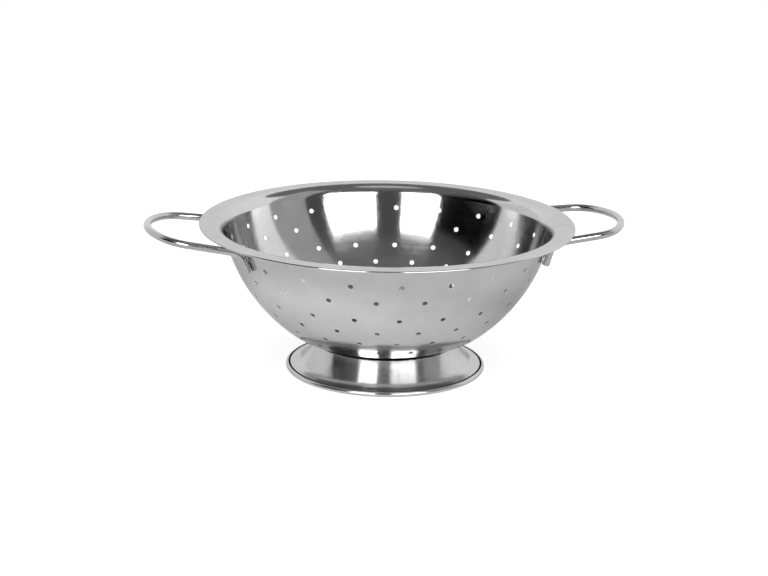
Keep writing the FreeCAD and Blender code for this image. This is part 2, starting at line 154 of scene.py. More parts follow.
# Finishes: shares of a tone, a roughness or a height, and how many features there are to a metre.
RING_HEIGHT = 0.05
RING_SHADE = 0.3
SHEET_WORN = 0.88
SHEET_GRAIN = (0.75, 1.25)
ONE_WAY_POLISH = 0.85
POLISH_TURN = 0.25
EDGE_TINT = 0.75
FINE_SMUDGES = 6.0
SCRATCH_DULL = 0.10
SCRATCH_DEPTH = 0.01
SCRATCH_WAYS = (((0.4, 0.9, 0.3), (2600.0, 40.0, 2600.0)),
                ((1.1, -0.4, 1.9), (2200.0, 2200.0, 55.0)))
# Near-black tone of the painted shade in the seams, and how patchy its width is.
SHADE_TONE = 0.012
SHADE_PATCHES = 400.0
WIRE_LINES = 4200.0
WIRE_WORN = 0.9
WIRE_GRAIN = (0.7, 1.3)
WIRE_DULL = 0.08
WELD_TONE = (0.42, 0.41, 0.40, 1.0)
WELD_TINT = (0.33, 0.29, 0.25, 1.0)
WELD_PATCHES = 700.0
WELD_GRAIN = 3000.0
WELD_ROUGH = (0.28, 0.55)
WELD_DEPTH = 0.00006

# Seams along which shade is painted near black: distance from the axis, height and width.
NECK_SEAM = (NECK_RADIUS + NECK_FOLD, BASE_HEIGHT, 0.0021)
LIP_SEAM = (FOOT_RADIUS - LIP_ROLL - GROOVE_SET, BRIM_HEIGHT - GROOVE_ROUND / 2, 0.00085)

# Room and floor.
ROOM_LIGHT = 0.5
FLOOR_REACH = 12.0
FLOOR_NEAR = 0.35
FLOOR_FAR = 0.9
FLOOR_TONES = (0.76, 0.74)
FLOOR_GRAIN = 60.0
FLOOR_LIFT = 0.62
# A painted glow on the floor near the colander, seen only in the steel: its strength, its middle
# and where it fades.
FLOOR_PAINTED_GLOW = 0.30
GLOW_MIDDLE = (-0.03, 0.0, 0.0)
GLOW_NEAR = 0.10
GLOW_FAR = 0.16

# Cards that the steel reflects: bearings and heights in degrees, distance and brightness.
CARDS = (
    ("left_softbox", (220.5, 249), (9.7, 39.5), 2.2, 6.5),
    ("right_softbox", (270, 310), (15.5, 37.5), 2.2, 6.5),
    ("dark_flag", (170, 219), (4, 36), 2.4, 0.0),
    ("ceiling", (0, 360), (62, 79), 3.2, 0.16),
    ("ceiling_light", (0, 360), (79, 90), 3.2, 0.6),
    ("backdrop_top", (0, 168), (46, 62), 3.1, 0.18),
    ("room_right", (120, 168), (0, 40), 3.0, 0.82),
    ("dim_room", (168, 325), (0, 45), 3.0, 0.08),
    ("dim_room_top", (168, 325), (45, 62), 3.0, 0.13),
    ("room_side", (325, 358), (0, 62), 3.0, 0.42),
)

# Lamps that light the floor: bearing and height in degrees, distance, size and brightness.
LAMPS = (
    ("left_lamp", 232.5, 24, 2.2, (1.3, 1.3), 1.9),
    ("right_lamp", 290, 24.5, 2.2, (1.69, 1.06), 1.9),
    ("top_lamp", 260, 86, 2.5, (2.0, 2.0), 1.7),
)

# Camera, at the photograph's viewing angle.
IMAGE_WIDTH = 768
FOCAL_PIXELS = 1889.35
SENSOR_WIDTH_MM = 36.0
CLIP_START = 0.01
CAMERA_RIGHT = Vector((0.98718, -0.15882, 0.01582))
CAMERA_UP = Vector((0.02887, 0.27517, 0.96096))
CAMERA_PLACE = Vector((-0.192983, -1.15697, 0.389387))

MIDDLE = Vector()
Y_AXIS = Vector((0, 1, 0))
Z_AXIS = Vector((0, 0, 1))


# Shared by all pieces

def polar(angle, radius=1.0):
    """A point of the upright section, at an angle from +X towards +Z."""
    return Vector((radius * math.cos(angle), 0, radius * math.sin(angle)))


def angle_of(point):
    """The angle of a point of the upright section, from +X towards +Z."""
    return math.atan2(point.z, point.x)


def swing(start, stop, centre):
    """The angle about a centre from one point to another, from nought up to a full turn."""
    return (angle_of(stop - centre) - angle_of(start - centre)) % math.tau


def circles_meet(first, first_radius, second, second_radius):
    """Where two circles of the section cross, on the left of the way between their middles."""
    way = second - first
    gap = way.length
    run = (gap ** 2 + first_radius ** 2 - second_radius ** 2) / (2 * gap)
    rise = math.sqrt(first_radius ** 2 - run ** 2)
    across = Vector((-way.z, 0, way.x)) / gap
    return first + way * (run / gap) + across * rise


def only(items, kind):
    """The vertices, edges or faces among what a bmesh operator gives back."""
    return [item for item in items if isinstance(item, kind)]


class Section:
    """A line of vertices in the upright plane, drawn with straight runs and arcs."""

    def __init__(self, bm, start):
        self.bm = bm
        self.last = bm.verts.new(start)

    def line(self, point):
        """A straight run to a point."""
        self.bm.verts.ensure_lookup_table()
        made = bmesh.ops.extrude_vert_indiv(self.bm, verts=[self.last])
        self.last = made["verts"][0]
        self.last.co = point

    def arc(self, centre, angle, steps):
        """An arc about a centre, positive from +X towards +Z."""
        made = bmesh.ops.spin(self.bm, geom=[self.last], cent=centre, axis=-Y_AXIS, angle=angle,
                              steps=steps)
        self.last = only(made["geom_last"], bmesh.types.BMVert)[0]


def turn_round(bm, columns):
    """Spin everything in a bmesh once about the upright axis."""
    bmesh.ops.spin(bm, geom=bm.verts[:] + bm.edges[:], cent=MIDDLE, axis=Z_AXIS, angle=math.tau,
                   steps=columns, use_merge=True)


def merge_doubles(bm):
    """Join the vertices that lie on one another."""
    bmesh.ops.remove_doubles(bm, verts=bm.verts[:], dist=MERGE_GAP)


def face_outwards(bm):
    """Point all faces outwards."""
    bmesh.ops.recalc_face_normals(bm, faces=bm.faces[:])


def bevel(bm, items, offset, steps, affect):
    """Round off vertices or edges, and give back the new faces."""
    made = bmesh.ops.bevel(bm, geom=items, offset=offset, offset_type="OFFSET", segments=steps,
                           profile=ROUND_PROFILE, affect=affect, material=-1)
    return made["faces"]


def take_mesh(bm, name):
    """The mesh of a bmesh, which is let go."""
    mesh = bpy.data.meshes.new(name)
    bm.to_mesh(mesh)
    bm.free()
    return mesh


def add_sheet(bm, other):
    """Add what is in another bmesh, which is let go."""
    mesh = take_mesh(other, "sheet")
    bm.from_mesh(mesh)
    bpy.data.meshes.remove(mesh)


def show(name, data):
    """A new object in the scene, with its mesh, lamp or camera."""
    item = bpy.data.objects.new(name, data)
    bpy.context.scene.collection.objects.link(item)
    return item


def finish_piece(bm, name, material, node):
    """Turn a bmesh into a piece that rides on the colander and stands for a node."""
    mesh = take_mesh(bm, name)
    mesh.shade_smooth()
    mesh.materials.append(material)
    piece = show(name, mesh)
    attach(piece, "root")
    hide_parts(node)
    return piece


# Bowl

def wall_leans():
    """How far up the ball each row of wall holes lies, from the lowest row up."""
    return [math.acos((BALL_RADIUS - BALL_DEPTH + share * BALL_DEPTH) / BALL_RADIUS)
            for share in WALL_ROW_DEPTHS]


def lean_of(point):
    """How far up the ball a point lies, as an angle from its bottom."""
    return math.atan2(math.hypot(point.x, point.y), BALL.z - point.z)


def on_ball(lean, turn, radius):
    """A point at a distance from the ball's centre, lean up from its bottom."""
    out = radius * math.sin(lean)
    return BALL + Vector((out * math.cos(turn), out * math.sin(turn), -radius * math.cos(lean)))


def drain_places():
    """Where the holes in the flat base lie, round the one in its middle."""
    places = []
    for share, count in DRAIN_ROWS:
        out = share * NECK_RADIUS
        for turn in (math.tau * number / count for number in range(count)):
            places.append(Vector((out * math.cos(turn), out * math.sin(turn), BASE_HEIGHT)))
    return places


def wall_places():
    """Where the holes in the round wall lie, every other row half a pitch on."""
    places = []
    for row, lean in enumerate(wall_leans()):
        start = math.pi / HOLES_ROUND * (row % 2)
        for number in range(HOLES_ROUND):
            places.append(on_ball(lean, start + math.tau * number / HOLES_ROUND, BALL_RADIUS))
    return places


def sheet_at(point):
    """The way square out of the bowl's sheet at a point, and its depth below the outer face."""
    flat = Vector((point.x, point.y, 0))
    if lean_of(point) > BASE_LEAN - LEAN_SLACK:
        ray = point - BALL
        return ray.normalized(), BALL_RADIUS - ray.length
    if flat.length > BASE_RADIUS:
        ray = point - flat.normalized() * BASE_RADIUS - Z_AXIS * BEND_HEIGHT
        return ray.normalized(), BASE_BEND - ray.length
    return -Z_AXIS, point.z - BASE_HEIGHT


def flange_centres():
    """The middles of the hem's round edge and of the bend between wall and flange."""
    hem = Vector((RIM_RADIUS - HEM_ROUND, 0, RIM_HEIGHT - HEM_ROUND))
    fall = polar(-FLANGE_SLOPE)
    below = hem - polar(math.pi / 2 - FLANGE_SLOPE, FLANGE_BEND + SHEET - HEM_ROUND)
    reach = (below - BALL).dot(fall)
    chord = (below - BALL).length_squared - (BALL_RADIUS + FLANGE_BEND) ** 2
    return hem, below + fall * (math.sqrt(reach ** 2 - chord) - reach)


def spin_base():
    """The outside of the flat base and of the bend round it, up to the ball."""
    bm = bmesh.new()
    section = Section(bm, Vector((HOLE_RADIUS, 0, BASE_HEIGHT)))
    reach = HOLE_RADIUS
    for stop in [share * NECK_RADIUS for share, _ in DRAIN_ROWS] + [BASE_RADIUS]:
        for step in range(1, BAND_STEPS + 1):
            section.line(Vector((reach + (stop - reach) * step / BAND_STEPS, 0, BASE_HEIGHT)))
        reach = stop
    section.arc(Vector((BASE_RADIUS, 0, BEND_HEIGHT)), BASE_LEAN, BASE_BEND_STEPS)
    turn_round(bm, FLOOR_COLUMNS)
    return bm


def spin_wall(stations):
    """A band of the ball's outside, with a ring at each station and steps between them."""
    bm = bmesh.new()
    section = Section(bm, on_ball(stations[0], 0, BALL_RADIUS))
    for low, high in zip(stations, stations[1:]):
        section.arc(BALL, high - low, BAND_STEPS)
    turn_round(bm, WALL_COLUMNS)
    return bm


def tree_of(points):
    """A search tree of points, by their numbers."""
    tree = KDTree(len(points))
    for number, point in enumerate(points):
        tree.insert(point, number)
    tree.balance()
    return tree


def round_hole(place, ring):
    """Set the corners of an opened hole evenly on its circle, on the bowl's outer face."""
    ray, _ = sheet_at(place)
    level = Vector((-place.y, place.x, 0)).normalized()
    uphill = ray.cross(level)

    def bearing(vertex):
        offset = vertex.co - place
        return (math.atan2(offset.dot(uphill), offset.dot(level)) + FIRST_CORNER) % math.tau

    ring.sort(key=bearing)
    for step, vertex in enumerate(ring):
        turn = math.tau * step / len(ring)
        vertex.co = place + (level * math.cos(turn) + uphill * math.sin(turn)) * HOLE_RADIUS
        out, depth = sheet_at(vertex.co)
        vertex.co += out * depth


def punch(bm, places):
    """Open a round hole at each place in a sheet of the bowl's outside."""
    bm.verts.ensure_lookup_table()
    corners = tree_of([vertex.co for vertex in bm.verts])
    middles = [bm.verts[corners.find(place)[1]] for place in places]
    discs = bevel(bm, middles, HOLE_RADIUS, HOLE_STEPS, "VERTICES")
    bmesh.ops.delete(bm, geom=discs, context="FACES")

    holes = tree_of(places)
    rings = [[] for place in places]
    for vertex in bm.verts:
        _, number, gap = holes.find(vertex.co)
        if vertex.is_boundary and gap < HOLE_SEARCH:
            rings[number].append(vertex)
    for place, ring in zip(places, rings):
        round_hole(place, ring)


def open_sheet(wall_top):
    """The bowl's outer face from the base up to the flange's bend, with its holes."""
    leans = wall_leans()
    joint = BASE_LEAN + (leans[0] - BASE_LEAN) * JOINT_SHARE
    base = spin_base()
    punch(base, drain_places())
    bm = spin_wall([joint] + leans + [wall_top])
    punch(bm, wall_places())
    add_sheet(bm, base)

    def ring_at(lean):
        height = on_ball(lean, 0, BALL_RADIUS).z
        return [edge for edge in bm.edges if edge.is_boundary
                and all(abs(vertex.co.z - height) < FACE_SLACK for vertex in edge.verts)]

    bmesh.ops.bridge_loops(bm, edges=ring_at(BASE_LEAN) + ring_at(joint))
    face_outwards(bm)
    return bm


def thicken(bm, top):
    """Add the sheet's inner face and the walls of its holes, open at the top."""
    rims = [edge for edge in bm.edges if edge.is_boundary
            and any(abs(vertex.co.z - top) > SHEET for vertex in edge.verts)]
    inner = bmesh.ops.duplicate(bm, geom=bm.faces[:])["geom"]
    bmesh.ops.reverse_faces(bm, faces=only(inner, bmesh.types.BMFace))
    made = bmesh.ops.extrude_edge_only(bm, edges=rims)["geom"]
    for vertex in only(inner + made, bmesh.types.BMVert):
        vertex.co -= sheet_at(vertex.co)[0] * SHEET


def spin_flange(hem, bend, wall_top):
    """The bend over the wall, the flange and the hem, open where they meet the wall."""
    bm = bmesh.new()
    up = polar(math.pi / 2 - FLANGE_SLOPE)
    fall = polar(-FLANGE_SLOPE)
    roll = wall_top + FLANGE_SLOPE
    section = Section(bm, on_ball(wall_top, 0, BALL_RADIUS))
    section.arc(bend, -roll, FLANGE_BEND_STEPS)
    section.line(hem - fall * HEM_WIDTH + up * (HEM_ROUND - SHEET))
    section.line(hem - fall * HEM_WIDTH - up * HEM_ROUND)
    section.line(hem - up * HEM_ROUND)
    section.arc(hem, math.pi, HEM_STEPS)
    section.line(bend + up * (FLANGE_BEND + SHEET))
    section.arc(bend, roll, FLANGE_BEND_STEPS)
    turn_round(bm, WALL_COLUMNS)
    return bm


def round_holes_off(bm, top):
    """Round off the edges of the holes, which all lie below the flange's bend."""
    def hole_edge(edge):
        height = (edge.verts[0].co.z + edge.verts[1].co.z) / 2
        return (len(edge.link_faces) == 2 and height < top - SHEET
                and edge.calc_face_angle() > HOLE_SHARP)

    edges = [edge for edge in bm.edges if hole_edge(edge)]
    bevel(bm, edges, HOLE_ROUNDING, HOLE_ROUNDING_STEPS, "EDGES")


def smooth_wall(mesh, wall_top, bend):
    """Give the wall's and the bend's faces their exact normals, so that reflections run true."""
    mesh.set_sharp_from_angle(angle=BOWL_SHARP)
    normals = [Vector(item.vector) for item in mesh.corner_normals]
    for number, loop in enumerate(mesh.loops):
        place = mesh.vertices[loop.vertex_index].co
        flat = Vector((place.x, place.y, 0))
        if lean_of(place) < wall_top + TOP_SLACK:
            out, depth = sheet_at(place)
        elif flat.length < bend.x:
            toward = flat.normalized() * bend.x + Z_AXIS * bend.z - place
            out, depth = toward.normalized(), toward.length - FLANGE_BEND
        else:
            continue
        if abs(depth) < FACE_SLACK:
            normals[number] = out
        elif abs(depth - SHEET) < FACE_SLACK:
            normals[number] = -out
    mesh.normals_split_custom_set(normals)


def make_bowl(material):
    """The perforated bowl: both faces of its wall, the holes' edges, the flange and its hem."""
    hem, bend = flange_centres()
    wall_top = math.pi / 2 + angle_of(bend - BALL)
    top = on_ball(wall_top, 0, BALL_RADIUS).z
    bm = open_sheet(wall_top)
    thicken(bm, top)
    add_sheet(bm, spin_flange(hem, bend, wall_top))
    merge_doubles(bm)
    face_outwards(bm)
    round_holes_off(bm, top)
    piece = finish_piece(bm, "polished_bowl", material, "bowl")
    smooth_wall(piece.data, wall_top, bend)


# Foot

def foot_wall(neck, brim_end):
    """The middles of the wall's and the toe's arcs, and the wall's lean where they join."""
    flare = neck + polar(NECK_LEAN, NECK_FOLD + FOOT_FLARE)
    low, high = NECK_LEAN, BRIM_LEAN
    for _ in range(HALVINGS):
        lean = (low + high) / 2
        toe = flare - polar(lean, FOOT_FLARE - TOE_BEND)
        above = (toe - polar(BRIM_LEAN, TOE_BEND) - brim_end).dot(polar(BRIM_LEAN)) > 0
        low, high = (lean, high) if above else (low, lean)
    return flare, toe, lean


def make_foot(material):
    """The foot: a collar under the base, a flared wall, a brim, a groove and a rolled lip."""
    collar = Vector((NECK_RADIUS - COLLAR_WIDTH, 0, BASE_HEIGHT - COLLAR_GAP))
    neck = Vector((NECK_RADIUS, 0, BASE_HEIGHT - COLLAR_GAP - NECK_FOLD))
    lip = Vector((FOOT_RADIUS - LIP_ROLL, 0, LIP_ROLL - LIP_FLAT))
    brim_end = Vector((lip.x, 0, BRIM_HEIGHT))
    flare, toe, lean = foot_wall(neck, brim_end)
    along = polar(BRIM_LEAN - math.pi / 2)
    square = polar(BRIM_LEAN)

    groove = brim_end - along * (GROOVE_SET / along.x)
    groove_start = groove - along * GROOVE_ROUND
    groove_end = circles_meet(groove, GROOVE_ROUND, lip, LIP_ROLL)
    half_flat = math.acos((LIP_ROLL - LIP_FLAT) / LIP_ROLL)
    flat_start = lip + polar(half_flat - math.pi / 2, LIP_ROLL)
    flat_end = lip + polar(-half_flat - math.pi / 2, LIP_ROLL)
    inside = toe - square * (TOE_BEND + SHEET)
    run = (lip - inside).dot(along)
    gap = (lip - inside).dot(square)
    lip_end = inside + along * (run - math.sqrt(LIP_ROLL ** 2 - gap ** 2))

    bm = bmesh.new()
    section = Section(bm, collar)
    section.line(neck + polar(math.pi / 2, NECK_FOLD))
    section.arc(neck, NECK_LEAN - math.pi / 2, NECK_STEPS)
    section.arc(flare, lean - NECK_LEAN, FLARE_STEPS)
    section.arc(toe, BRIM_LEAN - lean, TOE_STEPS)
    section.line(groove_start)
    section.arc(groove, swing(groove_start, groove_end, groove), GROOVE_STEPS)
    section.arc(lip, -swing(flat_start, groove_end, lip), LIP_STEPS)
    section.line(flat_end)
    section.arc(lip, -swing(lip_end, flat_end, lip), LIP_INSIDE_STEPS)
    section.line(inside)
    section.arc(toe, lean - BRIM_LEAN, TOE_STEPS)
    section.arc(flare, NECK_LEAN - lean, FLARE_STEPS)
    section.arc(neck, math.pi / 2 - NECK_LEAN, NECK_INSIDE_STEPS)
    section.line(collar - Z_AXIS * SHEET)
    section.line(collar)
    merge_doubles(bm)
    turn_round(bm, FOOT_COLUMNS)
    merge_doubles(bm)
    face_outwards(bm)
    piece = finish_piece(bm, "flared_foot", material, "foot_ring")
    piece.data.set_sharp_from_angle(angle=FOOT_SHARP)


# Handles

def handle_places(tilt):
    """Where a handle on +X is bent: the loop's plane, its arcs and the tab on the wall."""
    reach = BALL_RADIUS + WELD_GAP + WIRE_RADIUS
    lean = math.acos((BALL.z - RIM_HEIGHT + TAB_DROP) / reach)
    weld = on_ball(lean, TAB_ANGLE, reach)
    ray = (weld - BALL).normalized()
    around = Vector((-math.sin(TAB_ANGLE), math.cos(TAB_ANGLE), 0))
    uphill = around.cross(ray)
    if uphill.z < 0:
        uphill.negate()
    rise = uphill * math.cos(TAB_SPLAY) - around * math.sin(TAB_SPLAY)

    under_rim = RIM_HEIGHT - 2 * HEM_ROUND - RIM_CLEARANCE - WIRE_RADIUS
    pivot = Vector((RIM_RADIUS, 0, under_rim))
    outward = polar(tilt)
    square = polar(tilt + math.pi / 2)
    knee = weld + rise * ((pivot - weld).dot(square) / rise.dot(square))

    def way(angle):
        """A direction in the loop's plane, from outward towards +Y."""
        return outward * math.cos(angle) + Y_AXIS * math.sin(angle)

    tip = pivot + outward * (HANDLE_REACH / math.cos(tilt))
    tip_middle = tip - outward * TIP_RADIUS
    corner = tip_middle + way(CORNER_ANGLE) * (TIP_RADIUS - CORNER_RADIUS)
    to_knee = knee - corner
    bearing = math.atan2(to_knee.dot(Y_AXIS), to_knee.dot(outward)) \
        - math.acos(CORNER_RADIUS / to_knee.length)
    return SimpleNamespace(weld=weld, ray=ray, rise=rise, knee=knee, outward=outward,
                           square=square, tip=tip, tip_middle=tip_middle, corner=corner,
                           bearing=bearing, leg_start=corner + way(bearing) * CORNER_RADIUS)


def mirror_and_turn(bm, turn, merge_gap):
    """Add the mirror image across the handle's upright plane, and turn both to their side."""
    bmesh.ops.mirror(bm, geom=bm.verts[:] + bm.edges[:] + bm.faces[:], axis="Y",
                     merge_dist=merge_gap)
    bmesh.ops.rotate(bm, cent=MIDDLE, matrix=Matrix.Rotation(turn, 3, "Z"), verts=bm.verts[:])
    face_outwards(bm)


def axes_at(place, *axes):
    """The matrix that sets a shape down at a place, along three axes."""
    matrix = Matrix(axes).transposed().to_4x4()
    matrix.translation = place
    return matrix


def make_handle(name, turn, material):
    """One handle: half of the bent wire from its tip to its end, then the mirror image."""
    at = handle_places(TILTS[name])
    bm = bmesh.new()
    place = axes_at(at.tip, at.square, at.outward, Y_AXIS)
    bmesh.ops.create_circle(bm, segments=WIRE_SIDES, radius=WIRE_RADIUS, matrix=place)
    layer = bm.verts.layers.float_vector.new("drawn")
    for vertex in bm.verts:
        vertex[layer] = place.inverted() @ vertex.co

    def bend(edges, centre, axis, angle, steps):
        made = bmesh.ops.spin(bm, geom=edges, cent=centre, axis=axis, angle=angle, steps=steps)
        return only(made["geom_last"], bmesh.types.BMEdge)

    def run(edges, way):
        made = bmesh.ops.extrude_edge_only(bm, edges=edges)["geom"]
        verts = only(made, bmesh.types.BMVert)
        bmesh.ops.translate(bm, vec=way, verts=verts)
        return [edge for edge in only(made, bmesh.types.BMEdge)
                if all(vertex in verts for vertex in edge.verts)]

    leg = at.knee - at.leg_start
    into = leg.normalized()
    half = into.angle(at.rise) / 2
    set_back = TAB_BEND / math.tan(half)
    knee_middle = at.knee - (into + at.rise).normalized() * (TAB_BEND / math.sin(half))
    tab = (at.knee - at.weld).dot(at.rise) - set_back + TAB_TAIL

    end = bend(bm.edges[:], at.tip_middle, at.square, CORNER_ANGLE, TIP_STEPS)
    end = bend(end, at.corner, at.square, at.bearing - CORNER_ANGLE, CORNER_STEPS)
    end = run(end, into * (leg.length - set_back))
    end = bend(end, knee_middle, at.rise.cross(into), math.pi - 2 * half, KNEE_STEPS)
    end = run(end, at.rise * -tab)
    bmesh.ops.edgeloop_fill(bm, edges=end)
    bevel(bm, end, WIRE_END_ROUND, WIRE_END_STEPS, "EDGES")
    mirror_and_turn(bm, turn, WIRE_MERGE_GAP)
    finish_piece(bm, f"{name}_wire", material, name)


def make_beads(name, turn, material):
    """The two weld beads that hold a handle's ends on the wall."""
    at = handle_places(TILTS[name])
    bm = bmesh.new()
    bmesh.ops.create_uvsphere(bm, u_segments=BEAD_SEGMENTS, v_segments=BEAD_RINGS, radius=1.0)
    for vertex in bm.verts:
        ripple = math.sin(BEAD_RIPPLES * vertex.co.x) * (1 - vertex.co.x ** 2)
        vertex.co.y *= 1 + BEAD_RIPPLE * ripple
        vertex.co.z *= 1 if vertex.co.z > 0 else BEAD_SINK
    bmesh.ops.scale(bm, vec=BEAD_HALF, verts=bm.verts[:])
    place = axes_at(BALL + at.ray * BALL_RADIUS, at.rise, at.ray.cross(at.rise), at.ray)
    bmesh.ops.transform(bm, matrix=place, verts=bm.verts[:])
    mirror_and_turn(bm, turn, 0)
    finish_piece(bm, f"{name}_beads", material, f"{name}_welds")


# Finishes

def grey(tone):
    """A grey with its alpha."""
    return (tone, tone, tone, 1.0)


class Nodes:
    """Short ways to place and join nodes in one tree."""

    def __init__(self, tree):
        self.tree = tree

    def add(self, kind, inputs=None, **settings):
        """A node with its settings, and its inputs set or linked by name or number."""
        node = self.tree.nodes.new(kind)
        for name, value in settings.items():
            setattr(node, name, value)
        for key, value in (inputs or {}).items():
            if isinstance(value, bpy.types.NodeSocket):
                self.tree.links.new(value, node.inputs[key])
            else:
                node.inputs[key].default_value = value
        return node

    def group(self, tree, **values):
        """The outputs of a placed group, with its inputs set by name."""
        return self.add("ShaderNodeGroup", values, node_tree=tree).outputs

    def math(self, operation, first, second):
        """The result of a sum on two values or sockets."""
        return self.add("ShaderNodeMath", {0: first, 1: second}, operation=operation).outputs[0]

    def length(self, vector):
        """The length of a vector."""
        vector_math = self.add("ShaderNodeVectorMath", {0: vector}, operation="LENGTH")
        return vector_math.outputs["Value"]

    def blend(self, factor, first, second):
        """A colour between two others, by a factor."""
        colours = {0: factor, 6: first, 7: second}
        return self.add("ShaderNodeMix", colours, data_type="RGBA").outputs[2]

    def noise(self, vector, scale, detail=3.0, roughness=0.55):
        """The value of a noise texture."""
        return self.add("ShaderNodeTexNoise", {"Vector": vector, "Scale": scale, "Detail": detail,
                                               "Roughness": roughness}).outputs[0]

    def spread(self, value, low, high, to_low=0.0, to_high=1.0, **settings):
        """A value stretched from one range to another, and held there."""
        ends = {"Value": value, "From Min": low, "From Max": high,
                "To Min": to_low, "To Max": to_high}
        return self.add("ShaderNodeMapRange", ends, **settings).outputs[0]

    def bump(self, height, distance):
        """A normal that a height bends."""
        return self.add("ShaderNodeBump", {"Height": height, "Distance": distance}).outputs[0]

    def place(self):
        """The point on the piece, in metres."""
        return self.add("ShaderNodeTexCoord").outputs["Object"]

    def across_and_up(self, place):
        """How far a point lies from the upright axis, and how high."""
        parts = self.add("ShaderNodeSeparateXYZ", {0: place}).outputs
        flat = self.add("ShaderNodeCombineXYZ", {0: parts[0], 1: parts[1]}).outputs[0]
        return self.length(flat), parts[2]

    def section_point(self, across, up):
        """A vector of a distance from the axis and a height."""
        return self.add("ShaderNodeCombineXYZ", {0: across, 1: up}).outputs[0]


def new_group(name, inputs, outputs):
    """A shader group with named value sockets: its tree, nodes, inputs and outputs."""
    group = bpy.data.node_groups.new(name, "ShaderNodeTree")
    for label, value in inputs.items():
        socket = group.interface.new_socket(label, in_out="INPUT", socket_type="NodeSocketFloat")
        socket.default_value = value
    for label in outputs:
        group.interface.new_socket(label, in_out="OUTPUT", socket_type="NodeSocketFloat")
    nodes = Nodes(group)
    given = nodes.add("NodeGroupInput").outputs
    return group, nodes, given, nodes.add("NodeGroupOutput").inputs


def turned_lines_group():
    """Fine rings from spinning and polishing round the axis, and shallow waves under them."""
    group, nodes, given, out = new_group(
        "turned_lines", {"Lines": 2600.0, "Patches": 26.0, "Waves": 55.0}, ("Height", "Mask"))
    place = nodes.place()
    section = nodes.section_point(*nodes.across_and_up(place))
    lines = nodes.noise(section, given["Lines"], detail=4.0, roughness=0.7)
    patches = nodes.spread(nodes.noise(place, given["Patches"], detail=2.0, roughness=0.5),
                           0.3, 0.7, to_low=0.45)
    rings = nodes.math("MULTIPLY", nodes.math("SUBTRACT", lines, 0.5), patches)
    waves = nodes.noise(place, given["Waves"])
    height = nodes.math("ADD", nodes.math("MULTIPLY", rings, RING_HEIGHT), waves)
    group.links.new(height, out["Height"])
    group.links.new(nodes.spread(lines, 0.35, 0.65), out["Mask"])
    return group


def seam_shade_group():
    """Painted shade along a ring-shaped seam, on faces that look up (1) or down (-1)."""
    group, nodes, given, out = new_group(
        "seam_shade", {"Reach": 0.05, "Height": 0.02, "Width": 0.001, "Side": 1.0}, ("Shade",))
    place = nodes.place()
    normal = nodes.add("ShaderNodeTexCoord").outputs["Normal"]
    upright = nodes.add("ShaderNodeSeparateXYZ", {0: normal}).outputs[2]
    facing = nodes.spread(nodes.math("MULTIPLY", upright, given["Side"]), -0.05, 0.1)
    across, up = nodes.across_and_up(place)
    gap = nodes.length(nodes.section_point(nodes.math("SUBTRACT", across, given["Reach"]),
                                           nodes.math("SUBTRACT", up, given["Height"])))
    patchy = nodes.spread(nodes.noise(place, SHADE_PATCHES, roughness=0.6),
                          0.2, 0.8, to_low=0.75, to_high=1.25)
    near = nodes.math("DIVIDE", gap, nodes.math("MULTIPLY", given["Width"], patchy))
    # The band along the seam is painted dark, standing in for the shade in the gap.
    in_shade = nodes.spread(near, 0.7, 1.0, to_low=1.0, to_high=0.0)
    group.links.new(nodes.math("MULTIPLY", in_shade, facing), out["Shade"])
    return group


def handling_marks_group():
    """Smudges and hairline scratches from use."""
    group, nodes, given, out = new_group(
        "handling_marks", {"Smudges": 38.0, "Scratches": 1.0}, ("Smudge", "Scratch"))
    place = nodes.place()
    broad = nodes.noise(place, given["Smudges"], detail=5.0, roughness=0.6)
    finer = nodes.math("MULTIPLY", given["Smudges"], FINE_SMUDGES)
    fine = nodes.noise(place, finer, roughness=0.6)
    smudge = nodes.math("MULTIPLY", nodes.spread(broad, 0.38, 0.68),
                        nodes.spread(fine, 0.2, 0.75, to_low=0.4))
    group.links.new(smudge, out["Smudge"])
    hairlines = []
    for angles, stretch in SCRATCH_WAYS:
        turned = nodes.add("ShaderNodeMapping",
                           {"Vector": place, "Rotation": angles, "Scale": stretch}).outputs[0]
        streaks = nodes.noise(turned, 1.0, detail=2.0, roughness=0.5)
        hairlines.append(nodes.spread(streaks, 0.70, 0.80))
    both = nodes.math("MAXIMUM", *hairlines)
    group.links.new(nodes.math("MULTIPLY", both, given["Scratches"]), out["Scratch"])
    return group


def new_material(name):
    """A material with a bare metal shader: itself, its nodes, links and the shader's inputs."""
    material = bpy.data.materials.new(name)
    material.use_nodes = True
    tree = material.node_tree
    shader = tree.nodes["Principled BSDF"]
    shader.inputs["Metallic"].default_value = 1.0
    return material, Nodes(tree), tree.links, shader.inputs


